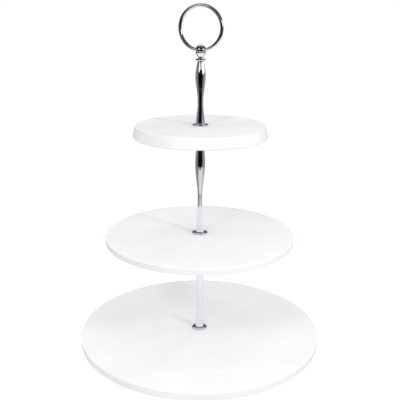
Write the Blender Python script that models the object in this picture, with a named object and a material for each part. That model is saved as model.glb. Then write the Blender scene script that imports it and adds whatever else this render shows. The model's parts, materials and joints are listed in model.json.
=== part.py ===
"""Three-tier cake stand: three round boards on a screwed, turned column with a ring handle.

The stand is built from the floor up along Z. Each board carries the same fittings: a gasket and
a domed flange washer on its top face, a turned rod that screws down onto them, and, under the
board, a gasket and a flat washer that the rod below (or the base screw) pushes against.
"""

import math

import bmesh
import bpy

# --- Driving dimensions, in metres ---------------------------------------------------------

GAP = 0.0003                # clearance between pieces that touch

# Boards: radius at the underside, radius of the top face, thickness, rounding of the edges
BOTTOM_BOARD = (0.1500, 0.1500, 0.0095, 0.0010)
MIDDLE_BOARD = (0.1150, 0.1150, 0.0083, 0.0010)
TOP_BOARD = (0.0793, 0.0768, 0.0130, 0.0010)
BOARD_HOLE_RADIUS = 0.0030
RECESS_RADIUS = 0.0120      # counterbore under the bottom board
RECESS_DEPTH = 0.0030

FOOT_HEIGHT = 0.0030        # from the floor to the bottom board's underside
FOOT_RADIUS = 0.0065
FOOT_CIRCLE_RADIUS = 0.1250
FOOT_COUNT = 4

# Long rods (identical) and the shorter handle rod
ROD_LENGTH = 0.1160
ROD_BASE_RADIUS = 0.00535
ROD_WAIST_RADIUS = 0.00325
ROD_WAIST = (0.0308, 0.0458)        # the waist's lower and upper ends, above the rod's foot
ROD_BULGE_RADIUS = 0.00590
ROD_BULGE = 0.0868
ROD_TOP_RADIUS = 0.00400

HANDLE_LENGTH = 0.0708
HANDLE_BASE_RADIUS = 0.00565
HANDLE_WAIST = (0.0205, 0.0269)
HANDLE_BULGE_RADIUS = 0.00600
HANDLE_BULGE = 0.0553
HANDLE_TOP_RADIUS = 0.00370

# How far the flares above the feet and the handle's shoulder curve: 1 is a plain cone
ROD_FLARE = 1.8
HANDLE_FLARE = 1.2
HANDLE_SHOULDER = 1.4

# Threads, as plain cylinders
STUD_RADIUS = 0.0025
STUD_REACH = 0.0090         # how far a stud goes into a rod
STUD_HOLE_DEPTH = 0.0110

# Washers and gaskets
FLANGE_RADIUS = 0.00935
FLANGE_HEIGHT = 0.0016
FLANGE_RIM_HEIGHT = 0.0005
FLANGE_LAND_RADIUS = 0.0060
FLANGE_HOLLOW_RADIUS = 0.0084
FLANGE_HOLE_RADIUS = 0.0029
GASKET_THICKNESS = 0.0004
GASKET_RADIUS = 0.0080
GASKET_HOLE_RADIUS = 0.0029
WASHER_THICKNESS = 0.0010
WASHER_RADIUS = 0.0080
BASE_WASHER_RADIUS = 0.0100

# Base screw
SCREW_HEAD_RADIUS = 0.0050
SCREW_HEAD_HEIGHT = 0.0020
SCREW_SOCKET_RADIUS = 0.0018
SCREW_SOCKET_DEPTH = 0.0012

# Finial: a collar and a cup that hold the ball, through which the ring passes
FINIAL_NECK_RADIUS = 0.0030
COLLAR_RADIUS = 0.0058
COLLAR_BOTTOM = 0.0011      # heights here are above the handle rod's top end
COLLAR_TOP = 0.0036
CUP_NECK = 0.0045
CUP_RADIUS = 0.00615
CUP_WIDEST = 0.0099
CUP_RIM = 0.0103
CUP_RIM_RADIUS = 0.00600
CUP_FLARE = 1.3
FINIAL_STUD_RADIUS = 0.0020
FINIAL_STUD_LENGTH = 0.0070
BALL_RADIUS = 0.0061
BALL_HEIGHT = 0.0133
SPIGOT_RADIUS = 0.0015
SPIGOT_BOTTOM = 0.0030

RING_RADIUS = 0.0247        # to the middle of the wire
RING_WIRE_RADIUS = 0.0020
RING_DROP = 0.0005          # the wire's lowest point hangs this far below the hinge line
RING_HOLE_RADIUS = 0.0028

# Facets round each turned piece, and the points of each curved stretch
BOARD_FACETS = 72
SMALL_FACETS = 20
ROUNDING_STEPS = 2
CURVE_STEPS = 4
BOLD_CURVE_STEPS = 6
RING_FACETS = 48
WIRE_FACETS = 10
BALL_STEPS = 8
SHARP_ANGLE = math.radians(35)

# --- Heights worked out from them ----------------------------------------------------------

FLANGE_STACK = GAP + FLANGE_HEIGHT + GAP        # board's top face to the foot of the rod above it
WASHER_STACK = 3 * GAP + GASKET_THICKNESS + WASHER_THICKNESS   # rod's top end to board above
TIER_SPACE = FLANGE_STACK + ROD_LENGTH + WASHER_STACK          # top face to next underside

BOTTOM_TOP = FOOT_HEIGHT + BOTTOM_BOARD[2]
MIDDLE_TOP = BOTTOM_TOP + TIER_SPACE + MIDDLE_BOARD[2]
UPPER_TOP = MIDDLE_TOP + TIER_SPACE + TOP_BOARD[2]
HANDLE_END = UPPER_TOP + FLANGE_STACK + HANDLE_LENGTH


# --- Materials ------------------------------------------------------------------------------

def make_material(name, colour, roughness, metallic):
    material = bpy.data.materials.new(name)
    material.use_nodes = True
    shader = material.node_tree.nodes["Principled BSDF"]
    shader.inputs["Base Color"].default_value = (*colour, 1.0)
    shader.inputs["Roughness"].default_value = roughness
    shader.inputs["Metallic"].default_value = metallic
    material.diffuse_color = (*colour, 1.0)
    return material


# --- Outlines: lists of (radius, height) points ----------------------------------------------

def eased(start, end, steps):
    """Points after start, up to end, on a half cosine wave that is upright at both."""
    points = []
    for i in range(1, steps + 1):
        share = (1 - math.cos(math.pi * i / steps)) / 2
        points.append((start[0] + (end[0] - start[0]) * share,
                       start[1] + (end[1] - start[1]) * i / steps))
    return points


def flared(start, end, curve, steps):
    """Points after start, up to end, on a flare that is most sloped at start."""
    points = []
    for i in range(1, steps + 1):
        share = 1 - (1 - i / steps) ** curve
        points.append((start[0] + (end[0] - start[0]) * share,
                       start[1] + (end[1] - start[1]) * i / steps))
    return points


def shouldered(start, end, curve, steps):
    """Points after start, up to end, on a shoulder that is upright at start."""
    points = []
    for i in range(1, steps + 1):
        share = (i / steps) ** curve
        points.append((start[0] + (end[0] - start[0]) * share,
                       start[1] + (end[1] - start[1]) * i / steps))
    return points


def arc(centre, radii, first, last, steps):
    """Points on an ellipse about centre, from the first angle to the last, in degrees."""
    points = []
    for i in range(steps + 1):
        angle = math.radians(first + (last - first) * i / steps)
        points.append((centre[0] + radii[0] * math.cos(angle),
                       centre[1] + radii[1] * math.sin(angle)))
    return points


def board_outline(board, recess=False):
    """A board below height 0, with rounded edges and a centre hole."""
    under_radius, face_radius, thickness, rounding = board
    outline = [(BOARD_HOLE_RADIUS, 0.0)]
    outline += arc((face_radius - rounding, -rounding), (rounding, rounding), 90, 0,
                   ROUNDING_STEPS)
    outline += arc((under_radius - rounding, rounding - thickness), (rounding, rounding), 0, -90,
                   ROUNDING_STEPS)
    if recess:
        roof = RECESS_DEPTH - thickness
        outline += [(RECESS_RADIUS, -thickness), (RECESS_RADIUS, roof), (BOARD_HOLE_RADIUS, roof)]
    else:
        outline.append((BOARD_HOLE_RADIUS, -thickness))
    return outline


def washer_outline(radius, hole_radius, thickness):
    return [(hole_radius, 0.0), (hole_radius, thickness), (radius, thickness), (radius, 0.0)]


def flange_outline():
    """A domed cup washer, hollow underneath, where its gasket lies."""
    hollow_roof = 2 * GAP + GASKET_THICKNESS
    dome = arc((FLANGE_LAND_RADIUS, FLANGE_RIM_HEIGHT),
               (FLANGE_RADIUS - FLANGE_LAND_RADIUS, FLANGE_HEIGHT - FLANGE_RIM_HEIGHT),
               0, 90, CURVE_STEPS)
    inside = [(FLANGE_HOLE_RADIUS, FLANGE_HEIGHT), (FLANGE_HOLE_RADIUS, hollow_roof),
              (FLANGE_HOLLOW_RADIUS, hollow_roof), (FLANGE_HOLLOW_RADIUS, 0.0)]
    return [(FLANGE_RADIUS, 0.0)] + dome + inside


def rod_outline():
    """A long rod, upwards from its foot, with a blind hole in each end."""
    hole = STUD_RADIUS + GAP
    top_hole = ROD_LENGTH - STUD_REACH - GAP
    outline = [(0.0, STUD_HOLE_DEPTH), (hole, STUD_HOLE_DEPTH), (hole, 0.0),
               (ROD_BASE_RADIUS, 0.0)]
    outline += flared((ROD_BASE_RADIUS, 0.0), (ROD_WAIST_RADIUS, ROD_WAIST[0]), ROD_FLARE,
                      BOLD_CURVE_STEPS)
    outline.append((ROD_WAIST_RADIUS, ROD_WAIST[1]))
    outline += eased((ROD_WAIST_RADIUS, ROD_WAIST[1]), (ROD_BULGE_RADIUS, ROD_BULGE),
                     BOLD_CURVE_STEPS)
    outline += eased((ROD_BULGE_RADIUS, ROD_BULGE), (ROD_TOP_RADIUS, ROD_LENGTH),
                     BOLD_CURVE_STEPS)
    return outline + [(hole, ROD_LENGTH), (hole, top_hole), (0.0, top_hole)]


def handle_outline():
    """The handle rod, upwards from its foot, with a stud hole below and the finial's above."""
    foot_hole = STUD_RADIUS + GAP
    top_hole = FINIAL_STUD_RADIUS + GAP
    top_hole_end = HANDLE_LENGTH - FINIAL_STUD_LENGTH - GAP
    outline = [(0.0, STUD_HOLE_DEPTH), (foot_hole, STUD_HOLE_DEPTH), (foot_hole, 0.0),
               (HANDLE_BASE_RADIUS, 0.0)]
    outline += flared((HANDLE_BASE_RADIUS, 0.0), (ROD_WAIST_RADIUS, HANDLE_WAIST[0]), HANDLE_FLARE,
                      CURVE_STEPS)
    outline.append((ROD_WAIST_RADIUS, HANDLE_WAIST[1]))
    outline += eased((ROD_WAIST_RADIUS, HANDLE_WAIST[1]), (HANDLE_BULGE_RADIUS, HANDLE_BULGE),
                     BOLD_CURVE_STEPS)
    outline += shouldered((HANDLE_BULGE_RADIUS, HANDLE_BULGE), (HANDLE_TOP_RADIUS, HANDLE_LENGTH),
                          HANDLE_SHOULDER, BOLD_CURVE_STEPS)
    return outline + [(top_hole, HANDLE_LENGTH), (top_hole, top_hole_end), (0.0, top_hole_end)]


def stud_outline(length):
    return [(0.0, 0.0), (STUD_RADIUS, 0.0), (STUD_RADIUS, length), (0.0, length)]


def screw_outline(length):
    """A pan head below height 0 and a shank of the given length above it."""
    head = arc((SCREW_HEAD_RADIUS / 2, -SCREW_HEAD_HEIGHT / 2),
               (SCREW_HEAD_RADIUS / 2, SCREW_HEAD_HEIGHT / 2), -90, 0, CURVE_STEPS)
    return ([(0.0, -SCREW_HEAD_HEIGHT)] + head
            + [(SCREW_HEAD_RADIUS, 0.0), (STUD_RADIUS, 0.0), (STUD_RADIUS, length), (0.0, length)])


def foot_outline():
    height = FOOT_HEIGHT - GAP
    side = arc((FOOT_RADIUS - height / 2, height / 2), (height / 2, height / 2),
               -90, 0, CURVE_STEPS)
    return [(0.0, 0.0)] + side + [(FOOT_RADIUS, height), (0.0, height)]


def cup_outline():
    """The finial's stud, neck, collar and cup, whose seat follows the ball at one gap."""
    collar_middle = (COLLAR_BOTTOM + COLLAR_TOP) / 2
    collar_round = (COLLAR_TOP - COLLAR_BOTTOM) / 2
    seat_radius = BALL_RADIUS + GAP
    rim_angle = -math.degrees(math.asin((BALL_HEIGHT - CUP_RIM) / seat_radius))
    spigot_hole = SPIGOT_RADIUS + GAP
    seat_end_angle = -math.degrees(math.acos(spigot_hole / seat_radius))
    outline = [(0.0, -FINIAL_STUD_LENGTH), (FINIAL_STUD_RADIUS, -FINIAL_STUD_LENGTH),
               (FINIAL_STUD_RADIUS, GAP), (FINIAL_NECK_RADIUS, GAP),
               (FINIAL_NECK_RADIUS, COLLAR_BOTTOM)]
    outline += arc((COLLAR_RADIUS - collar_round, collar_middle), (collar_round, collar_round),
                   -90, 90, CURVE_STEPS)
    outline += [(FINIAL_NECK_RADIUS, COLLAR_TOP + GAP), (FINIAL_NECK_RADIUS, CUP_NECK)]
    outline += shouldered((FINIAL_NECK_RADIUS, CUP_NECK), (CUP_RADIUS, CUP_WIDEST), CUP_FLARE,
                          BOLD_CURVE_STEPS)
    outline.append((CUP_RIM_RADIUS, CUP_RIM))
    outline += arc((0.0, BALL_HEIGHT), (seat_radius, seat_radius), rim_angle, seat_end_angle,
                   CURVE_STEPS)
    return outline + [(spigot_hole, SPIGOT_BOTTOM - GAP), (0.0, SPIGOT_BOTTOM - GAP)]


def ball_outline():
    """The ball about height 0, with a spigot below that fits the cup."""
    spigot_end = SPIGOT_BOTTOM - BALL_HEIGHT
    join = -math.degrees(math.acos(SPIGOT_RADIUS / BALL_RADIUS))
    outline = [(0.0, spigot_end), (SPIGOT_RADIUS, spigot_end)]
    outline += arc((0.0, 0.0), (BALL_RADIUS, BALL_RADIUS), join, 90, BALL_STEPS)[:-1]
    return outline + [(0.0, BALL_RADIUS)]


# --- Meshes and objects -----------------------------------------------------------------------

def finish_mesh(name, bm):
    bmesh.ops.remove_doubles(bm, verts=bm.verts, dist=1e-6)
    bmesh.ops.recalc_face_normals(bm, faces=bm.faces)
    mesh = bpy.data.meshes.new(name)
    bm.to_mesh(mesh)
    bm.free()
    mesh.shade_smooth()
    mesh.set_sharp_from_angle(angle=SHARP_ANGLE)
    return mesh


def turned_mesh(name, outline, facets):
    """Turns an outline about Z. It is closed into a loop unless both of its ends lie on Z."""
    bm = bmesh.new()
    verts = [bm.verts.new((radius, 0.0, height)) for radius, height in outline]
    edges = [bm.edges.new(pair) for pair in zip(verts, verts[1:])]
    if outline[0][0] > 0:
        edges.append(bm.edges.new((verts[-1], verts[0])))
    bmesh.ops.spin(bm, geom=verts + edges, cent=(0, 0, 0), axis=(0, 0, 1),
                   angle=2 * math.pi, steps=facets, use_merge=True)
    return finish_mesh(name, bm)


def ring_mesh(name):
    """A round wire ring that stands in the XZ plane, its lowest point just below its origin."""
    bm = bmesh.new()
    verts = [bm.verts.new((0.0, y, z)) for y, z in
             arc((0.0, -RING_DROP), (RING_WIRE_RADIUS, RING_WIRE_RADIUS), 0, 360, WIRE_FACETS)[:-1]]
    edges = [bm.edges.new(pair) for pair in zip(verts, verts[1:] + verts[:1])]
    bmesh.ops.spin(bm, geom=verts + edges, cent=(0, 0, RING_RADIUS - RING_DROP),
                   axis=(0, 1, 0), angle=2 * math.pi, steps=RING_FACETS, use_merge=True)
    return finish_mesh(name, bm)


def make_object(name, mesh, parent, height, material, place=(0.0, 0.0)):
    piece = bpy.data.objects.new(name, mesh)
    bpy.context.scene.collection.objects.link(piece)
    if not mesh.materials:
        mesh.materials.append(material)
    piece.location = (*place, height)
    piece.parent = parent
    return piece


def make_turned(name, outline, parent, height, material, facets=SMALL_FACETS):
    return make_object(name, turned_mesh(name, outline, facets), parent, height, material)


def make_empty(name, height):
    empty = bpy.data.objects.new(name, None)
    empty.location = (0.0, 0.0, height)
    bpy.context.scene.collection.objects.link(empty)
    return empty


def cut(piece, cutter):
    """Subtracts a hidden cutter from a piece."""
    cutter.hide_render = True
    cutter.display_type = "WIRE"
    modifier = piece.modifiers.new("cut_" + cutter.name, "BOOLEAN")
    modifier.operation = "DIFFERENCE"
    modifier.solver = "EXACT"
    modifier.object = cutter


# --- The stand's pieces ------------------------------------------------------------------------

def make_board(name, board, tier, material, recess=False):
    make_turned(name, board_outline(board, recess), tier, 0.0, material, BOARD_FACETS)


def make_flange_fittings(board_name, flange_name, tier, chrome, rubber):
    """What lies on a board's top face: a gasket, inside a domed flange washer."""
    gasket = washer_outline(GASKET_RADIUS, GASKET_HOLE_RADIUS, GASKET_THICKNESS)
    make_turned(board_name + "_upper_gasket", gasket, tier, GAP, rubber)
    make_turned(flange_name, flange_outline(), tier, GAP, chrome)


def make_under_fittings(board_name, washer_name, washer_radius, tier, underside, steel, rubber):
    """What lies under a board: a gasket, and a flat washer below it."""
    gasket = washer_outline(washer_radius, GASKET_HOLE_RADIUS, GASKET_THICKNESS)
    washer = washer_outline(washer_radius, GASKET_HOLE_RADIUS, WASHER_THICKNESS)
    gasket_height = underside - GAP - GASKET_THICKNESS
    make_turned(board_name + "_lower_gasket", gasket, tier, gasket_height, rubber)
    make_turned(washer_name, washer, tier, gasket_height - GAP - WASHER_THICKNESS, steel)


def make_stud(name, board, tier, steel):
    """The stud fixed in the rod below a board, through the board and into the rod above."""
    foot = -board[2] - WASHER_STACK - STUD_REACH
    make_turned(name, stud_outline(FLANGE_STACK + STUD_REACH - foot), tier, foot, steel)


def make_base_screw(tier, steel):
    """The screw that comes up through the bottom board into the lower rod."""
    underside = RECESS_DEPTH - BOTTOM_BOARD[2]
    seat = underside - WASHER_STACK
    screw = make_turned("base_screw", screw_outline(FLANGE_STACK + STUD_REACH - seat),
                        tier, seat, steel)
    bm = bmesh.new()
    bmesh.ops.create_cone(bm, cap_ends=True, segments=6, radius1=SCREW_SOCKET_RADIUS,
                          radius2=SCREW_SOCKET_RADIUS, depth=2 * SCREW_SOCKET_DEPTH)
    socket = make_object("socket_cutter", finish_mesh("socket_cutter", bm), tier,
                         seat - SCREW_HEAD_HEIGHT, steel)
    cut(screw, socket)


def make_feet(tier, rubber):
    mesh = turned_mesh("foot", foot_outline(), SMALL_FACETS)
    for i in range(FOOT_COUNT):
        angle = 2 * math.pi * (i + 0.5) / FOOT_COUNT
        place = (FOOT_CIRCLE_RADIUS * math.cos(angle), FOOT_CIRCLE_RADIUS * math.sin(angle))
        make_object(f"foot_{i + 1}", mesh, tier, -BOTTOM_TOP, rubber, place)


def make_finial(handle_end, chrome):
    """The cup, the ball with its cross hole, and the ring, which stands on its hinge line."""
    make_turned("finial_cup", cup_outline(), handle_end, 0.0, chrome)
    ball = make_turned("finial_ball", ball_outline(), handle_end, BALL_HEIGHT, chrome)
    bm = bmesh.new()
    bmesh.ops.create_cone(bm, cap_ends=True, segments=SMALL_FACETS, radius1=RING_HOLE_RADIUS,
                          radius2=RING_HOLE_RADIUS, depth=4 * BALL_RADIUS)
    hole = make_object("ring_hole_cutter", finish_mesh("ring_hole_cutter", bm), handle_end,
                       BALL_HEIGHT, chrome)
    hole.rotation_euler = (0.0, math.pi / 2, 0.0)
    cut(ball, hole)
    make_object("ring_handle", ring_mesh("ring_handle"), handle_end, BALL_HEIGHT, chrome)


def main():
    for old in list(bpy.data.objects):
        bpy.data.objects.remove(old, do_unlink=True)

    white = make_material("white_lacquer", (0.88, 0.88, 0.88), 0.40, 0.0)
    chrome = make_material("chrome", (0.78, 0.79, 0.80), 0.06, 1.0)
    steel = make_material("zinc_steel", (0.55, 0.56, 0.58), 0.35, 1.0)
    rubber = make_material("grey_rubber", (0.50, 0.50, 0.50), 0.80, 0.0)

    # One empty for each tier, on the axis at the height of its board's top face
    bottom_tier = make_empty("bottom_tier", BOTTOM_TOP)
    middle_tier = make_empty("middle_tier", MIDDLE_TOP)
    top_tier = make_empty("top_tier", UPPER_TOP)
    handle_end = make_empty("handle_end", HANDLE_END)

    make_board("bottom_board", BOTTOM_BOARD, bottom_tier, white, recess=True)
    make_feet(bottom_tier, rubber)
    make_under_fittings("bottom_board", "base_washer", BASE_WASHER_RADIUS, bottom_tier,
                        RECESS_DEPTH - BOTTOM_BOARD[2], steel, rubber)
    make_base_screw(bottom_tier, steel)
    make_flange_fittings("bottom_board", "lower_flange", bottom_tier, chrome, rubber)
    make_turned("lower_rod", rod_outline(), bottom_tier, FLANGE_STACK, chrome)

    make_board("middle_board", MIDDLE_BOARD, middle_tier, white)
    make_under_fittings("middle_board", "middle_support_washer", WASHER_RADIUS, middle_tier,
                        -MIDDLE_BOARD[2], steel, rubber)
    make_stud("lower_stud", MIDDLE_BOARD, middle_tier, steel)
    make_flange_fittings("middle_board", "middle_flange", middle_tier, chrome, rubber)
    make_turned("middle_rod", rod_outline(), middle_tier, FLANGE_STACK, chrome)

    make_board("top_board", TOP_BOARD, top_tier, white)
    make_under_fittings("top_board", "top_support_washer", WASHER_RADIUS, top_tier,
                        -TOP_BOARD[2], steel, rubber)
    make_stud("upper_stud", TOP_BOARD, top_tier, steel)
    make_flange_fittings("top_board", "top_flange", top_tier, chrome, rubber)
    make_turned("handle_rod", handle_outline(), top_tier, FLANGE_STACK, chrome)

    make_finial(handle_end, chrome)


main()
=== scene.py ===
"""Looks for the three-tier cake stand: fine turned pieces, materials, light and camera.

Each piece stands for one CAD node and takes its place from that node's box. Outlines are lists of
(radius, height) points, upwards from the piece's lowest point, in metres.
"""

import json
import math

import bpy
from mathutils import Matrix, Vector


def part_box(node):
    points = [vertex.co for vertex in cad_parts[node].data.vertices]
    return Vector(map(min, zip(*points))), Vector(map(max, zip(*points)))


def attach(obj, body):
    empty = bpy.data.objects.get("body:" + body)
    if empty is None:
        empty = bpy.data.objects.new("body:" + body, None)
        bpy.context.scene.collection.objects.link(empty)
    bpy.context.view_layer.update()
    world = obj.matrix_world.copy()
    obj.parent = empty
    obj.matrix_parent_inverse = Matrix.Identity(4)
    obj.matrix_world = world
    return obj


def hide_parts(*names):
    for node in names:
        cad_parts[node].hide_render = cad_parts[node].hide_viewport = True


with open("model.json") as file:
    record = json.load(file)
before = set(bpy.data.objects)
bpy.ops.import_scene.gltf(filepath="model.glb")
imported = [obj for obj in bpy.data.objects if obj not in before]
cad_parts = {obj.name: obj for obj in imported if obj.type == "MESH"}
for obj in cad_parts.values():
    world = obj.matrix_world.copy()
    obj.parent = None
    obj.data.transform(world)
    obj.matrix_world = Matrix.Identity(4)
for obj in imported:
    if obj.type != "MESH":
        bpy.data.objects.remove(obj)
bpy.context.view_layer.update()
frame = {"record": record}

# --- Dimensions that the boxes of the CAD nodes don't give --------------------------------------

GAP = 0.0003
FOOT_REACH = 0.00025            # a rod's foot reaches this far below its CAD solid, to its washer
BOARD_HOLE_RADIUS = 0.0030
BOARD_ROUNDING = 0.0010
TOP_BOARD_FACE_RADIUS = 0.0768
RECESS_RADIUS = 0.0120
RECESS_DEPTH = 0.0030

STUD_RADIUS = 0.0025
THREAD_ROOT_RADIUS = 0.00208
THREAD_PITCH = 0.0008
STUD_REACH = 0.0090
STUD_HOLE_DEPTH = 0.0110

ROD_BASE_RADIUS = 0.00535
WAIST_RADIUS = 0.00325
ROD_WAIST = (0.0308, 0.0458)
ROD_BULGE_RADIUS = 0.00590
ROD_BULGE = 0.0868
ROD_TOP_RADIUS = 0.00400
HANDLE_BASE_RADIUS = 0.00565
HANDLE_WAIST = (0.0205, 0.0269)
HANDLE_BULGE_RADIUS = 0.00600
HANDLE_BULGE = 0.0553
HANDLE_TOP_RADIUS = 0.00370
# How far the flares above the feet and the handle's shoulder curve: 1 is a plain cone
ROD_FLARE = 1.8
HANDLE_FLARE = 1.2
HANDLE_SHOULDER = 1.4

FLANGE_RIM_HEIGHT = 0.0005
FLANGE_LAND_RADIUS = 0.0060
FLANGE_HOLLOW_RADIUS = 0.0084
WASHER_HOLE_RADIUS = 0.0029
GASKET_THICKNESS = 0.0004

SCREW_HEAD_RADIUS = 0.0050
SCREW_HEAD_HEIGHT = 0.0020
SOCKET_RADIUS = 0.0018
SOCKET_DEPTH = 0.0012

FINIAL_STUD_RADIUS = 0.0020
FINIAL_STUD_LENGTH = 0.0070
FINIAL_NECK_RADIUS = 0.0030
COLLAR_RADIUS = 0.0058
COLLAR_BOTTOM = 0.0011
COLLAR_TOP = 0.0036
CUP_NECK = 0.0045
CUP_RADIUS = 0.00615
CUP_WIDEST = 0.0099
CUP_RIM = 0.0103
CUP_RIM_RADIUS = 0.00600
CUP_FLARE = 1.3
BALL_RADIUS = 0.0061
BALL_HEIGHT = 0.0133
SPIGOT_RADIUS = 0.0015
RING_WIRE_RADIUS = 0.0020
RING_HOLE_RADIUS = 0.0028

BOARD_FACETS = 288
FINE_FACETS = 96
RING_FACETS = 256
WIRE_FACETS = 48
SHARP_ANGLE = math.radians(40)

# --- Camera and light ---------------------------------------------------------------------------

# The ring stands across X. The camera looks at it from a little to one side, and the lights
# are placed round the stand by their angle to the right of the camera.
VIEW_TURN = math.radians(17.0)
CAMERA_DISTANCE = 0.7573
CAMERA_ABOVE_BASE = 0.3994      # above the bottom board's top face
CAMERA_PITCH = math.radians(16.795)
CAMERA_ROLL = math.radians(0.265)
CAMERA_LENS = 58.71

# What metal sees round it: grey levels, and softboxes as (left, right, bottom, top, level), in
# degrees to the right of the camera and above the horizon
BLACK = 0.003
SOFTBOXES = ((-46.0, -26.0, 9.0, 28.0, 1.5), (44.0, 100.0, 5.0, 21.0, 1.5),
             (100.0, 125.0, 2.0, 15.0, 0.8), (-22.0, 40.0, 12.5, 17.0, 0.62),
             (-180.0, -130.0, 40.0, 70.0, 0.95), (130.0, 180.0, 40.0, 70.0, 0.95))
# What matt surfaces see: a dome that is darker towards the horizon
DOME = (0.76, 0.97)


# --- Outlines -----------------------------------------------------------------------------------

def eased(start, end, steps):
    """Points after start, up to end, on a half cosine wave that is upright at both."""
    points = []
    for i in range(1, steps + 1):
        share = (1 - math.cos(math.pi * i / steps)) / 2
        points.append((start[0] + (end[0] - start[0]) * share,
                       start[1] + (end[1] - start[1]) * i / steps))
    return points


def flared(start, end, curve, steps):
    """Points after start, up to end, on a flare that is most sloped at start."""
    points = []
    for i in range(1, steps + 1):
        share = 1 - (1 - i / steps) ** curve
        points.append((start[0] + (end[0] - start[0]) * share,
                       start[1] + (end[1] - start[1]) * i / steps))
    return points


def shouldered(start, end, curve, steps):
    """Points after start, up to end, on a shoulder that is upright at start."""
    points = []
    for i in range(1, steps + 1):
        share = (i / steps) ** curve
        points.append((start[0] + (end[0] - start[0]) * share,
                       start[1] + (end[1] - start[1]) * i / steps))
    return points


def arc(centre, radii, first, last, steps):
    """Points on an ellipse about centre, from the first angle to the last, in degrees."""
    points = []
    for i in range(steps + 1):
        angle = math.radians(first + (last - first) * i / steps)
        points.append((centre[0] + radii[0] * math.cos(angle),
                       centre[1] + radii[1] * math.sin(angle)))
    return points


def softened(outline, size, closed=True, steps=3):
    """The outline with each sharp corner off the axis replaced by a small round of that size."""
    points = []
    count = len(outline)
    for i, here in enumerate(outline):
        if not closed and i in (0, count - 1):
            points.append(here)
            continue
        before, after = Vector(outline[i - 1]), Vector(outline[(i + 1) % count])
        corner = Vector(here)
        back, on = before - corner, after - corner
        if back.length < 1e-9 or on.length < 1e-9 or math.pi - back.angle(on) < SHARP_ANGLE:
            points.append(here)
            continue
        reach = min(size, back.length * 0.4, on.length * 0.4)
        first, last = corner + back.normalized() * reach, corner + on.normalized() * reach
        for k in range(steps + 1):
            t = k / steps
            points.append(tuple(first * (1 - t) ** 2 + corner * 2 * t * (1 - t) + last * t ** 2))
    return points


# --- Meshes -------------------------------------------------------------------------------------

def turned_rings(outline, facets):
    """One ring of points about Z for each point of the outline. A point on the axis is one point."""
    rings = []
    for radius, height in outline:
        if radius < 1e-7:
            rings.append([Vector((0.0, 0.0, height))])
        else:
            rings.append([Vector((radius * math.cos(2 * math.pi * k / facets),
                                  radius * math.sin(2 * math.pi * k / facets), height))
                          for k in range(facets)])
    return rings


def joined_faces(lower, upper):
    """Faces between two rings of vertex numbers, either of which may be one point."""
    if len(lower) == 1 and len(upper) == 1:
        return []
    count = max(len(lower), len(upper))
    faces = []
    for k in range(count):
        n = (k + 1) % count
        if len(lower) == 1:
            faces.append((lower[0], upper[n], upper[k]))
        elif len(upper) == 1:
            faces.append((lower[k], lower[n], upper[0]))
        else:
            faces.append((lower[k], lower[n], upper[n], upper[k]))
    return faces


def stacked_mesh(name, rings, closed):
    """Joins rings in order, and the last to the first if closed. Each ring is a list of points."""
    points, numbers = [], []
    for ring in rings:
        numbers.append(list(range(len(points), len(points) + len(ring))))
        points += ring
    faces = []
    for lower, upper in zip(numbers, numbers[1:] + (numbers[:1] if closed else [])):
        faces += joined_faces(lower, upper)
    mesh = bpy.data.meshes.new(name)
    mesh.from_pydata(points, [], faces)
    volume = sum(points[f[0]].dot(points[f[i]].cross(points[f[i + 1]]))
                 for f in faces for i in range(1, len(f) - 1))
    if volume < 0:
        mesh.flip_normals()
    mesh.shade_smooth()
    mesh.set_sharp_from_angle(angle=SHARP_ANGLE)
    mesh.validate()
    return mesh


def turned_mesh(name, outline, facets=FINE_FACETS):
    closed = outline[0][0] > 0
    return stacked_mesh(name, turned_rings(outline, facets), closed)


def threaded_rings(bottom, top, facets=40, per_turn=8):
    """Rings of a right-hand thread that fades into its root at both ends."""
    rings = []
    count = round((top - bottom) / THREAD_PITCH * per_turn)
    for i in range(count + 1):
        height = bottom + (top - bottom) * i / count
        fade = min(1.0, (height - bottom) / THREAD_PITCH, (top - height) / THREAD_PITCH)
        ring = []
        for k in range(facets):
            phase = (height / THREAD_PITCH - k / facets) % 1.0
            ridge = min(1.0, max(0.0, 1.3 * (1 - abs(2 * phase - 1)) - 0.15))
            radius = THREAD_ROOT_RADIUS + (STUD_RADIUS - THREAD_ROOT_RADIUS) * ridge * fade
            angle = 2 * math.pi * k / facets
            ring.append(Vector((radius * math.cos(angle), radius * math.sin(angle), height)))
        rings.append(ring)
    return rings


# --- Pieces: each stands for one CAD node -------------------------------------------------------

bodies = frame["record"]["behaviour"]["bodies"]
body_of = {node: body for body, nodes in bodies.items() for node in nodes}


def place(node, mesh, material, lift=0.0):
    """Puts a mesh where a CAD node's lowest point is, on the node's own body, in its stead."""
    low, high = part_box(node)
    piece = bpy.data.objects.new(node + "_detail", mesh)
    bpy.context.scene.collection.objects.link(piece)
    mesh.materials.append(material)
    piece.location = ((low.x + high.x) / 2, (low.y + high.y) / 2, low.z + lift)
    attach(piece, body_of[node])
    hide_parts(node)
    return piece


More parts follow.
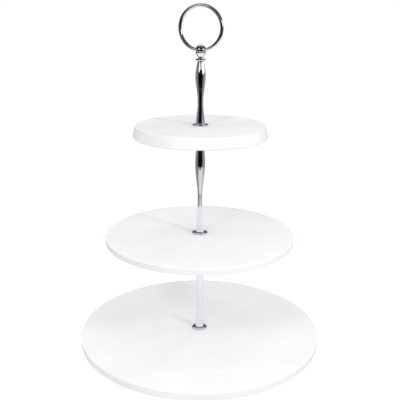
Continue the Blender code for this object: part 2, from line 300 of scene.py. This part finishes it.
def board_mesh(node, face_radius=None, recess=False):
    low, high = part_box(node)
    under_radius, thickness = (high.x - low.x) / 2, high.z - low.z
    face_radius = face_radius or under_radius
    edge = BOARD_ROUNDING
    outline = [(BOARD_HOLE_RADIUS, thickness - 0.0003), (BOARD_HOLE_RADIUS + 0.0003, thickness),
               (BOARD_HOLE_RADIUS + 0.0010, thickness), (face_radius * 0.5, thickness),
               (face_radius - edge - 0.0006, thickness)]
    outline += arc((face_radius - edge, thickness - edge), (edge, edge), 90, 0, 10)
    slope = (under_radius - face_radius) / (thickness - 2 * edge)
    outline += [(face_radius + slope * 0.0004, thickness - edge - 0.0004),
                (under_radius - slope * 0.0004, edge + 0.0004)]
    outline += arc((under_radius - edge, edge), (edge, edge), 0, -90, 10)
    outline.append((under_radius - edge - 0.0006, 0.0))
    if recess:
        outline += softened([(RECESS_RADIUS + 0.001, 0.0), (RECESS_RADIUS, 0.0),
                             (RECESS_RADIUS, RECESS_DEPTH), (RECESS_RADIUS - 0.001, RECESS_DEPTH)],
                            0.0003, closed=False)
        outline.append((BOARD_HOLE_RADIUS, RECESS_DEPTH))
    else:
        outline += [(face_radius * 0.5, 0.0), (BOARD_HOLE_RADIUS + 0.0003, 0.0),
                    (BOARD_HOLE_RADIUS, 0.0003)]
    return turned_mesh(node, outline, BOARD_FACETS)


def washer_mesh(node, rounding):
    low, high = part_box(node)
    radius, thickness = (high.x - low.x) / 2, high.z - low.z
    outline = [(WASHER_HOLE_RADIUS, 0.0), (WASHER_HOLE_RADIUS, thickness), (radius, thickness),
               (radius, 0.0)]
    return turned_mesh(node, softened(outline, rounding, steps=4))


def flange_mesh(node):
    """A domed cup washer, hollow underneath, where its gasket lies."""
    low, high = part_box(node)
    radius, height = (high.x - low.x) / 2, high.z - low.z
    hollow_roof = 2 * GAP + GASKET_THICKNESS
    dome = arc((FLANGE_LAND_RADIUS, FLANGE_RIM_HEIGHT),
               (radius - FLANGE_LAND_RADIUS, height - FLANGE_RIM_HEIGHT), 0, 90, 24)
    outline = [(radius - 0.0002, 0.0), (radius - 0.00006, 0.00006), (radius, 0.0002)] + dome
    outline += [(WASHER_HOLE_RADIUS + 0.0002, height), (WASHER_HOLE_RADIUS, height - 0.0002),
                (WASHER_HOLE_RADIUS, hollow_roof), (FLANGE_HOLLOW_RADIUS - 0.0004, hollow_roof),
                (FLANGE_HOLLOW_RADIUS, hollow_roof - 0.0004), (FLANGE_HOLLOW_RADIUS, 0.0)]
    return turned_mesh(node, outline)


def rod_mesh(node):
    """A long rod, with its foot and top edges eased and a blind hole in each end."""
    low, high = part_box(node)
    length = high.z - low.z
    hole = STUD_RADIUS + GAP
    top_hole = length - STUD_REACH - GAP
    outline = [(0.0, STUD_HOLE_DEPTH + 0.0008), (hole * 0.9, STUD_HOLE_DEPTH),
               (hole, STUD_HOLE_DEPTH - 0.0003), (hole, 0.0003), (hole + 0.0003, -FOOT_REACH),
               (ROD_BASE_RADIUS - 0.0002, -FOOT_REACH),
               (ROD_BASE_RADIUS - 0.00006, 0.00006 - FOOT_REACH),
               (ROD_BASE_RADIUS, 0.0002 - FOOT_REACH)]
    outline += flared((ROD_BASE_RADIUS, 0.0), (WAIST_RADIUS, ROD_WAIST[0]), ROD_FLARE, 40)
    outline += [(WAIST_RADIUS, (ROD_WAIST[0] + ROD_WAIST[1]) / 2), (WAIST_RADIUS, ROD_WAIST[1])]
    outline += eased((WAIST_RADIUS, ROD_WAIST[1]), (ROD_BULGE_RADIUS, ROD_BULGE), 48)
    outline += eased((ROD_BULGE_RADIUS, ROD_BULGE), (ROD_TOP_RADIUS, length - 0.0002), 40)
    outline += [(ROD_TOP_RADIUS - 0.00006, length - 0.00006), (ROD_TOP_RADIUS - 0.0002, length),
                (hole + 0.0003, length), (hole, length - 0.0003), (hole, top_hole + 0.0003),
                (hole * 0.9, top_hole), (0.0, top_hole - 0.0008)]
    return turned_mesh(node, outline)


def handle_mesh(node):
    """The handle rod, with a hole for a stud in its foot and for the finial's stud in its top."""
    low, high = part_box(node)
    length = high.z - low.z
    foot_hole = STUD_RADIUS + GAP
    top_hole = FINIAL_STUD_RADIUS + GAP
    top_hole_end = length - FINIAL_STUD_LENGTH - GAP
    base = HANDLE_BASE_RADIUS
    outline = [(0.0, STUD_HOLE_DEPTH + 0.0008), (foot_hole * 0.9, STUD_HOLE_DEPTH),
               (foot_hole, STUD_HOLE_DEPTH - 0.0003), (foot_hole, 0.0003),
               (foot_hole + 0.0003, -FOOT_REACH), (base - 0.0002, -FOOT_REACH),
               (base - 0.00006, 0.00006 - FOOT_REACH), (base, 0.0002 - FOOT_REACH)]
    outline += flared((base, 0.0), (WAIST_RADIUS, HANDLE_WAIST[0]), HANDLE_FLARE, 40)
    outline.append((WAIST_RADIUS, HANDLE_WAIST[1]))
    outline += eased((WAIST_RADIUS, HANDLE_WAIST[1]), (HANDLE_BULGE_RADIUS, HANDLE_BULGE), 44)
    outline += shouldered((HANDLE_BULGE_RADIUS, HANDLE_BULGE), (HANDLE_TOP_RADIUS, length),
                          HANDLE_SHOULDER, 32)
    outline += [(top_hole + 0.0002, length), (top_hole, length - 0.0002),
                (top_hole, top_hole_end), (0.0, top_hole_end - 0.0005)]
    return turned_mesh(node, outline)


def stud_mesh(node):
    """A threaded stud with plain ends."""
    low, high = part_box(node)
    length = high.z - low.z
    ends = ([(0.0, 0.0), (THREAD_ROOT_RADIUS - 0.0003, 0.0)],
            [(THREAD_ROOT_RADIUS - 0.0003, length), (0.0, length)])
    rings = (turned_rings(ends[0], 40) + threaded_rings(0.0003, length - 0.0003)
             + turned_rings(ends[1], 40))
    return stacked_mesh(node, rings, closed=False)


def screw_mesh(node):
    """A pan-head screw, head down, with a hexagon socket and a threaded shank."""
    low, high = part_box(node)
    length, facets = high.z - low.z, 48
    head, depth = SCREW_HEAD_HEIGHT, SOCKET_DEPTH

    def hexagon(height, size):
        ring = []
        for k in range(facets):
            angle = 2 * math.pi * k / facets
            flat = (angle % (math.pi / 3)) - math.pi / 6
            radius = size * math.cos(math.pi / 6) / math.cos(flat)
            ring.append(Vector((radius * math.cos(angle), radius * math.sin(angle), height)))
        return ring

    rings = turned_rings([(0.0, depth + 0.0003)], facets)
    rings += [hexagon(depth, SOCKET_RADIUS * 0.97), hexagon(0.0002, SOCKET_RADIUS),
              hexagon(0.0, SOCKET_RADIUS * 1.06)]
    rings += turned_rings(arc((SCREW_HEAD_RADIUS / 2, head / 2),
                              (SCREW_HEAD_RADIUS / 2, head / 2), -90, 0, 14), facets)
    rings += turned_rings([(SCREW_HEAD_RADIUS, head - 0.0001), (SCREW_HEAD_RADIUS - 0.0001, head),
                           (STUD_RADIUS, head), (THREAD_ROOT_RADIUS, head + 0.0004)], facets)
    rings += threaded_rings(head + 0.0006, length - 0.0003, facets)
    rings += turned_rings([(THREAD_ROOT_RADIUS - 0.0003, length), (0.0, length)], facets)
    return stacked_mesh(node, rings, closed=False)


def foot_mesh(node):
    """A rubber foot: a rounded button with a shallow dish under it."""
    low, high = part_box(node)
    radius, height = (high.x - low.x) / 2, high.z - low.z
    outline = [(0.0, 0.0004), (radius * 0.35, 0.0003), (radius * 0.55, 0.0)]
    outline += arc((radius - height / 2, height / 2), (height / 2, height / 2), -90, 0, 12)
    outline += [(radius, height - 0.0002), (radius - 0.0002, height), (0.0, height)]
    return turned_mesh(node, outline, 64)


def cup_mesh(node):
    """The finial's stud, neck, collar and cup, whose seat follows the ball at one gap."""
    bottom = FINIAL_STUD_LENGTH
    collar_middle = (COLLAR_BOTTOM + COLLAR_TOP) / 2
    collar_round = (COLLAR_TOP - COLLAR_BOTTOM) / 2
    seat_radius = BALL_RADIUS + GAP
    rim_angle = -math.degrees(math.asin((BALL_HEIGHT - CUP_RIM) / seat_radius))
    spigot_hole = SPIGOT_RADIUS + GAP
    seat_end_angle = -math.degrees(math.acos(spigot_hole / seat_radius))
    spigot_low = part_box("finial_ball")[0].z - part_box("finial_cup")[0].z - bottom
    outline = [(0.0, -bottom), (FINIAL_STUD_RADIUS - 0.0003, -bottom),
               (FINIAL_STUD_RADIUS, 0.0003 - bottom), (FINIAL_STUD_RADIUS, GAP),
               (FINIAL_NECK_RADIUS, GAP), (FINIAL_NECK_RADIUS, COLLAR_BOTTOM - 0.0001),
               (FINIAL_NECK_RADIUS + 0.0001, COLLAR_BOTTOM)]
    outline += arc((COLLAR_RADIUS - collar_round, collar_middle), (collar_round, collar_round),
                   -90, 90, 24)
    outline += [(FINIAL_NECK_RADIUS + 0.0002, COLLAR_TOP), (FINIAL_NECK_RADIUS, COLLAR_TOP + GAP),
                (FINIAL_NECK_RADIUS, CUP_NECK)]
    outline += shouldered((FINIAL_NECK_RADIUS, CUP_NECK), (CUP_RADIUS, CUP_WIDEST), CUP_FLARE, 32)
    outline += [(CUP_RADIUS - 0.00008, CUP_WIDEST + 0.00025), (CUP_RIM_RADIUS + 0.0001, CUP_RIM),
                (CUP_RIM_RADIUS, CUP_RIM)]
    outline += arc((0.0, BALL_HEIGHT), (seat_radius, seat_radius), rim_angle, seat_end_angle, 24)
    outline += [(spigot_hole, spigot_low - GAP), (0.0, spigot_low - GAP)]
    return turned_mesh(node, [(radius, height + bottom) for radius, height in outline])


def ball_mesh(node):
    """The ball, turned about its cross hole, with a spigot joined below it."""
    low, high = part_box(node)
    centre = high.z - low.z - BALL_RADIUS
    lip = 0.0004
    mouth = math.degrees(math.asin((RING_HOLE_RADIUS + lip) / BALL_RADIUS))
    wall = BALL_RADIUS * math.cos(math.radians(mouth)) - lip
    outline = [(RING_HOLE_RADIUS, -wall), (RING_HOLE_RADIUS, -wall / 2), (RING_HOLE_RADIUS, 0.0),
               (RING_HOLE_RADIUS, wall / 2), (RING_HOLE_RADIUS, wall)]
    outline += arc((RING_HOLE_RADIUS + lip, wall), (lip, lip), 180, 90 + mouth, 5)[1:]
    outline += arc((0.0, 0.0), (BALL_RADIUS, BALL_RADIUS), 90 - mouth, mouth - 90, 72)
    outline += arc((RING_HOLE_RADIUS + lip, -wall), (lip, lip), -90 - mouth, -180, 5)[:-1]
    rings = turned_rings(outline, FINE_FACETS)
    turn = Matrix.Translation((0, 0, centre)) @ Matrix.Rotation(math.pi / 2, 4, "Y")
    body = bpy.data.objects.new("ball_body", stacked_mesh(
        "ball_body", [[turn @ point for point in ring] for ring in rings], closed=True))
    spigot = bpy.data.objects.new("ball_spigot", turned_mesh("ball_spigot", softened(
        [(0.0, 0.0), (SPIGOT_RADIUS, 0.0), (SPIGOT_RADIUS, centre - BALL_RADIUS * 0.85),
         (0.0, centre - BALL_RADIUS * 0.85)], 0.0003, closed=False), 48))
    for part in (body, spigot):
        bpy.context.scene.collection.objects.link(part)
    union = body.modifiers.new("spigot", "BOOLEAN")
    union.operation, union.solver, union.object = "UNION", "EXACT", spigot
    bpy.context.view_layer.update()
    graph = bpy.context.evaluated_depsgraph_get()
    mesh = bpy.data.meshes.new_from_object(body.evaluated_get(graph))
    for part in (body, spigot):
        bpy.data.objects.remove(part, do_unlink=True)
    mesh.name = node
    mesh.set_sharp_from_angle(angle=SHARP_ANGLE)
    return mesh


def ring_mesh(node):
    """A round wire ring that stands in the XZ plane."""
    low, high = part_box(node)
    outer, wire = (high.z - low.z) / 2, RING_WIRE_RADIUS
    rings = []
    for i in range(RING_FACETS):
        angle = 2 * math.pi * i / RING_FACETS
        out = Vector((math.sin(angle), 0.0, -math.cos(angle)))
        ring = []
        for y, along in arc((0.0, outer - wire), (wire, wire), 0, 360, WIRE_FACETS)[:-1]:
            ring.append(out * along + Vector((0.0, y, outer)))
        rings.append(ring)
    return stacked_mesh(node, rings, closed=True)


# --- Materials ----------------------------------------------------------------------------------

def new_material(slot):
    """A material for a slot, its node tree, its Principled shader and its object position."""
    material = bpy.data.materials.new(slot + "_look")
    material["slot"] = slot
    material.use_nodes = True
    tree = material.node_tree
    where = tree.nodes.new("ShaderNodeTexCoord").outputs["Object"]
    return material, tree, tree.nodes["Principled BSDF"], where


def noise(tree, where, scale, detail=3.0, roughness=0.5, stretch=None):
    """A noise value of about that many cells per metre, squeezed along each axis by stretch."""
    if stretch:
        mapping = tree.nodes.new("ShaderNodeMapping")
        mapping.inputs["Scale"].default_value = stretch
        tree.links.new(where, mapping.inputs["Vector"])
        where = mapping.outputs["Vector"]
    texture = tree.nodes.new("ShaderNodeTexNoise")
    texture.inputs["Scale"].default_value = scale
    texture.inputs["Detail"].default_value = detail
    texture.inputs["Roughness"].default_value = roughness
    tree.links.new(where, texture.inputs["Vector"])
    return texture.outputs["Fac"]


def remap(tree, value, low, high, to_low, to_high):
    node = tree.nodes.new("ShaderNodeMapRange")
    node.clamp = True
    for socket, number in (("From Min", low), ("From Max", high), ("To Min", to_low),
                           ("To Max", to_high)):
        node.inputs[socket].default_value = number
    tree.links.new(value, node.inputs["Value"])
    return node.outputs["Result"]


def math_node(tree, operation, *values):
    node = tree.nodes.new("ShaderNodeMath")
    node.operation = operation
    for socket, value in zip(node.inputs, values):
        if isinstance(value, (int, float)):
            socket.default_value = value
        else:
            tree.links.new(value, socket)
    return node.outputs["Value"]


def blend_colours(tree, share, first, second):
    """A mix of two colours, each a constant or a socket, by a share that varies."""
    node = tree.nodes.new("ShaderNodeMix")
    node.data_type = "RGBA"
    tree.links.new(share, node.inputs["Factor"])
    for socket, colour in ((node.inputs[6], first), (node.inputs[7], second)):
        if isinstance(colour, tuple):
            socket.default_value = (*colour, 1.0)
        else:
            tree.links.new(colour, socket)
    return node.outputs[2]


def bump(tree, height, distance, strength=1.0, before=None):
    node = tree.nodes.new("ShaderNodeBump")
    node.inputs["Strength"].default_value = strength
    node.inputs["Distance"].default_value = distance
    tree.links.new(height, node.inputs["Height"])
    if before:
        tree.links.new(before, node.inputs["Normal"])
    return node.outputs["Normal"]


def cylindrical(tree, where):
    """Object position as (radius, height)."""
    parts = tree.nodes.new("ShaderNodeSeparateXYZ")
    tree.links.new(where, parts.inputs["Vector"])
    x, y, z = parts.outputs
    radius = math_node(tree, "SQRT", math_node(tree, "ADD", math_node(tree, "MULTIPLY", x, x),
                                               math_node(tree, "MULTIPLY", y, y)))
    return radius, z


def white_lacquer():
    """Sprayed satin lacquer: faint orange peel, soft clouding and a few tiny pits."""
    material, tree, shader, where = new_material("white_lacquer")
    clouds = remap(tree, noise(tree, where, 14, 4, 0.6), 0.35, 0.65, 0, 1)
    colour = blend_colours(tree, clouds, (0.872, 0.882, 0.892), (0.912, 0.921, 0.928))
    specks = remap(tree, noise(tree, where, 900, 2, 0.5), 0.70, 0.78, 0, 0.35)
    colour = blend_colours(tree, specks, colour, (0.80, 0.80, 0.79))
    tree.links.new(colour, shader.inputs["Base Color"])
    handled = noise(tree, where, 35, 5, 0.65)
    tree.links.new(remap(tree, handled, 0.3, 0.7, 0.34, 0.46), shader.inputs["Roughness"])
    peel = bump(tree, noise(tree, where, 700, 2, 0.4), 0.00003, 0.6)
    pits = remap(tree, noise(tree, where, 320, 1, 0.3), 0.72, 0.80, 0, 1)
    tree.links.new(bump(tree, pits, -0.00006, 0.5, peel), shader.inputs["Normal"])
    shader.inputs["Specular IOR Level"].default_value = 0.45
    return material


def chrome():
    """Bright chrome plate: faint haze, handling smears and hair-fine polishing lines."""
    material, tree, shader, where = new_material("chrome")
    shader.inputs["Metallic"].default_value = 1.0
    haze = remap(tree, noise(tree, where, 120, 5, 0.6), 0.35, 0.7, 0, 1)
    tree.links.new(blend_colours(tree, haze, (0.89, 0.90, 0.91), (0.84, 0.85, 0.865)),
                   shader.inputs["Base Color"])
    smears = remap(tree, noise(tree, where, 60, 4, 0.55, (1.0, 1.0, 0.4)), 0.4, 0.75, 0, 1)
    lines = noise(tree, where, 600, 3, 0.6, (0.15, 0.15, 9.0))
    worn = math_node(tree, "ADD", math_node(tree, "MULTIPLY", smears, 0.05),
                     math_node(tree, "MULTIPLY", lines, 0.04))
    tree.links.new(math_node(tree, "ADD", worn, 0.025), shader.inputs["Roughness"])
    tree.links.new(bump(tree, lines, 0.0000015, 0.35), shader.inputs["Normal"])
    return material


def zinc_steel():
    """Zinc-plated steel: turned rings, and the grain and bloom of thin plating."""
    material, tree, shader, where = new_material("zinc_steel")
    shader.inputs["Metallic"].default_value = 1.0
    bloom = remap(tree, noise(tree, where, 260, 5, 0.6), 0.3, 0.7, 0, 1)
    tree.links.new(blend_colours(tree, bloom, (0.50, 0.52, 0.55), (0.63, 0.63, 0.61)),
                   shader.inputs["Base Color"])
    radius, _ = cylindrical(tree, where)
    rings = tree.nodes.new("ShaderNodeTexNoise")
    rings.noise_dimensions = "1D"
    rings.inputs["Scale"].default_value = 9000
    tree.links.new(radius, rings.inputs["W"])
    tree.links.new(remap(tree, bloom, 0, 1, 0.27, 0.42), shader.inputs["Roughness"])
    tree.links.new(bump(tree, rings.outputs["Fac"], 0.000008, 0.5), shader.inputs["Normal"])
    return material


def grey_rubber():
    """Matt moulded rubber: a fine grain, with paler dust in patches."""
    material, tree, shader, where = new_material("grey_rubber")
    dust = remap(tree, noise(tree, where, 180, 5, 0.65), 0.4, 0.75, 0, 1)
    tree.links.new(blend_colours(tree, dust, (0.46, 0.46, 0.47), (0.58, 0.58, 0.57)),
                   shader.inputs["Base Color"])
    tree.links.new(remap(tree, dust, 0, 1, 0.62, 0.85), shader.inputs["Roughness"])
    tree.links.new(bump(tree, noise(tree, where, 3500, 3, 0.6), 0.00003, 0.5),
                   shader.inputs["Normal"])
    return material


# --- Building the stand -------------------------------------------------------------------------

white, plated, steel, rubber = white_lacquer(), chrome(), zinc_steel(), grey_rubber()

place("bottom_board", board_mesh("bottom_board", recess=True), white)
place("middle_board", board_mesh("middle_board"), white)
place("top_board", board_mesh("top_board", TOP_BOARD_FACE_RADIUS), white)
for number in range(1, 5):
    place(f"foot_{number}", foot_mesh(f"foot_{number}"), rubber)
for tier in ("bottom", "middle", "top"):
    for side in ("upper", "lower"):
        gasket = f"{tier}_board_{side}_gasket"
        place(gasket, washer_mesh(gasket, 0.0002), rubber)
for washer in ("base_washer", "middle_support_washer", "top_support_washer"):
    place(washer, washer_mesh(washer, 0.0002), steel)
for flange in ("lower_flange", "middle_flange", "top_flange"):
    place(flange, flange_mesh(flange), plated)
for rod in ("lower_rod", "middle_rod"):
    place(rod, rod_mesh(rod), plated)
place("handle_rod", handle_mesh("handle_rod"), plated)
for stud in ("lower_stud", "upper_stud"):
    place(stud, stud_mesh(stud), steel)
place("base_screw", screw_mesh("base_screw"), steel)
place("finial_cup", cup_mesh("finial_cup"), plated)
place("finial_ball", ball_mesh("finial_ball"), plated)
place("ring_handle", ring_mesh("ring_handle"), plated)


# --- Studio -------------------------------------------------------------------------------------

def round_stand(right_of_camera, distance, height):
    """A point round the stand, by its angle in degrees to the right of the camera."""
    angle = VIEW_TURN + math.radians(right_of_camera)
    return Vector((distance * math.sin(angle), -distance * math.cos(angle), height))


def make_camera():
    data = bpy.data.cameras.new("camera")
    data.lens, data.sensor_width, data.sensor_fit = CAMERA_LENS, 36.0, "HORIZONTAL"
    data.clip_start, data.clip_end = 0.05, 20.0
    camera = bpy.data.objects.new("camera", data)
    bpy.context.scene.collection.objects.link(camera)
    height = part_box("bottom_board")[1].z + CAMERA_ABOVE_BASE
    camera.matrix_world = (Matrix.Translation(round_stand(0.0, CAMERA_DISTANCE, height))
                           @ Matrix.Rotation(VIEW_TURN, 4, "Z")
                           @ Matrix.Rotation(math.pi / 2 - CAMERA_PITCH, 4, "X")
                           @ Matrix.Rotation(CAMERA_ROLL, 4, "Z"))
    bpy.context.scene.camera = camera


def make_softbox(name, right_of_camera, distance, height, size, watts, aim=0.2):
    data = bpy.data.lights.new(name, "AREA")
    data.shape = "RECTANGLE"
    data.size, data.size_y = size
    data.energy = watts
    light = bpy.data.objects.new(name, data)
    bpy.context.scene.collection.objects.link(light)
    light.location = round_stand(right_of_camera, distance, height)
    towards = Vector((0.0, 0.0, aim)) - light.location
    light.rotation_euler = towards.to_track_quat("-Z", "Y").to_euler()
    light.visible_camera = False
    light.visible_glossy = False
    return light


def make_floor():
    """A pale round table top whose pale part ends a little in front of the stand, where it is
    painted black, and which is painted grey at its sides: painted shade for the dark room that the
    metal reflects. To the camera it glows an even white, which also hides its shadows.
    """
    outline = [(0.0, 0.0), (0.2, 0.0), (0.4, 0.0), (0.72, 0.0)]
    mesh = stacked_mesh("floor", turned_rings(outline, 128), closed=False)
    floor = bpy.data.objects.new("floor", mesh)
    bpy.context.scene.collection.objects.link(floor)
    floor.location.z = -0.0001
    material, tree, shader, where = new_material("floor")
    turned = tree.nodes.new("ShaderNodeVectorRotate")
    turned.rotation_type = "Z_AXIS"
    turned.inputs["Angle"].default_value = -VIEW_TURN
    tree.links.new(where, turned.inputs["Vector"])
    parts = tree.nodes.new("ShaderNodeSeparateXYZ")
    tree.links.new(turned.outputs["Vector"], parts.inputs["Vector"])
    across, along, _ = parts.outputs
    # Painted shade: black in front and grey at the sides, for the dark room seen in the metal's
    # reflections
    near = remap(tree, along, -0.66, -0.54, 0, 1)
    left = remap(tree, across, -0.38, -0.32, 0, 1)
    right = remap(tree, across, 0.38, 0.50, 1, 0)
    side_painted_shade = mixed(tree, remap(tree, across, -0.1, 0.1, 0, 1), 0.22, 0.42)
    white = remap(tree, noise(tree, where, 3, 2), 0.3, 0.7, 0.61, 0.63)
    level = mixed(tree, math_node(tree, "MULTIPLY", left, right), side_painted_shade, white)
    level = mixed(tree, near, 0.02, level)
    tree.links.new(blend_colours(tree, level, (0.0, 0.0, 0.0), (1.0, 1.0, 1.0)),
                   shader.inputs["Base Color"])
    shader.inputs["Roughness"].default_value = 0.8
    shader.inputs["Specular IOR Level"].default_value = 0.1
    # A glow seen only by the camera keeps the floor an even white and hides its shadows
    shader.inputs["Emission Color"].default_value = (1.0, 1.0, 1.0, 1.0)
    rays = tree.nodes.new("ShaderNodeLightPath")
    tree.links.new(math_node(tree, "MULTIPLY", rays.outputs["Is Camera Ray"], 1.0),
                   shader.inputs["Emission Strength"])
    mesh.materials.append(material)


def ramp(tree, value, stops):
    """Looks a value from 0 to 1 up among grey levels, given as (position, level) pairs."""
    node = tree.nodes.new("ShaderNodeFloatCurve")
    curve = node.mapping.curves[0]
    top = max(level for _, level in stops)
    while len(curve.points) < len(stops):
        curve.points.new(0.5, 0.5)
    for point, (position, level) in zip(curve.points, stops):
        point.location = (position, level / top)
        point.handle_type = "VECTOR"
    node.mapping.update()
    tree.links.new(value, node.inputs["Value"])
    return math_node(tree, "MULTIPLY", node.outputs["Value"], top)


def window(tree, value, low, high, soft):
    """1 between low and high, falling to 0 within soft of either."""
    rising = remap(tree, value, low - soft, low, 0, 1)
    falling = remap(tree, value, high, high + soft, 1, 0)
    return math_node(tree, "MULTIPLY", rising, falling)


def mixed(tree, share, first, second):
    """first where share is 0 and second where it is 1, for numbers or sockets."""
    rest = math_node(tree, "SUBTRACT", 1.0, share)
    return math_node(tree, "ADD", math_node(tree, "MULTIPLY", first, rest),
                     math_node(tree, "MULTIPLY", second, share))


def make_world():
    """White to the camera. Metal sees a dim room, black towards the camera, and softboxes."""
    world = bpy.data.worlds.new("studio")
    bpy.context.scene.world = world
    world.use_nodes = True
    tree = world.node_tree
    tree.nodes.clear()
    where = tree.nodes.new("ShaderNodeTexCoord").outputs["Generated"]
    turned = tree.nodes.new("ShaderNodeVectorRotate")
    turned.rotation_type = "Z_AXIS"
    turned.inputs["Angle"].default_value = -VIEW_TURN
    tree.links.new(where, turned.inputs["Vector"])
    parts = tree.nodes.new("ShaderNodeSeparateXYZ")
    tree.links.new(turned.outputs["Vector"], parts.inputs["Vector"])
    x, y, z = parts.outputs
    azimuth = math_node(tree, "ARCTAN2", x, math_node(tree, "MULTIPLY", y, -1.0))
    share = math_node(tree, "ADD", math_node(tree, "MULTIPLY", azimuth, 0.5 / math.pi), 0.5)

    def at(degrees):
        return 0.5 + degrees / 360

    low = ramp(tree, share, [(0.0, 0.31), (at(-90), 0.25), (at(-62), 0.15), (at(-45), BLACK),
                             (at(44), BLACK), (at(62), 0.20), (at(76), 0.29), (at(120), 0.33),
                             (1.0, 0.31)])
    high = ramp(tree, share, [(0.0, 0.12), (at(-120), 0.07), (at(-35), BLACK), (at(40), BLACK),
                              (at(120), 0.07), (1.0, 0.12)])
    seen = mixed(tree, remap(tree, z, 0.10, 0.25, 0, 1), low, high)
    seen = mixed(tree, remap(tree, z, 0.55, 0.85, 0, 1), seen, 0.05)
    for left, right, bottom, top, level in SOFTBOXES:
        sides = window(tree, share, at(left), at(right), 0.006)
        ends = window(tree, z, math.sin(math.radians(bottom)), math.sin(math.radians(top)), 0.03)
        seen = mixed(tree, math_node(tree, "MULTIPLY", sides, ends), seen, level)

    rays = tree.nodes.new("ShaderNodeLightPath")
    dome = remap(tree, z, 0.0, 0.7, *DOME)
    strength = mixed(tree, rays.outputs["Is Glossy Ray"], dome, seen)
    strength = mixed(tree, rays.outputs["Is Camera Ray"], strength, 1.0)
    background = tree.nodes.new("ShaderNodeBackground")
    tree.links.new(strength, background.inputs["Strength"])
    tree.links.new(blend_colours(tree, rays.outputs["Is Glossy Ray"], (1.0, 1.0, 1.0),
                                 (0.93, 0.96, 1.0)), background.inputs["Color"])
    output = tree.nodes.new("ShaderNodeOutputWorld")
    tree.links.new(background.outputs["Background"], output.inputs["Surface"])


make_camera()
make_floor()
make_world()
make_softbox("key_softbox", 49.0, 2.40, 1.72, (0.4, 0.4), 20.0)
make_softbox("fill_softbox", -31.0, 2.20, 1.95, (0.5, 0.5), 14.0)
bpy.context.scene.view_settings.view_transform = "Standard"
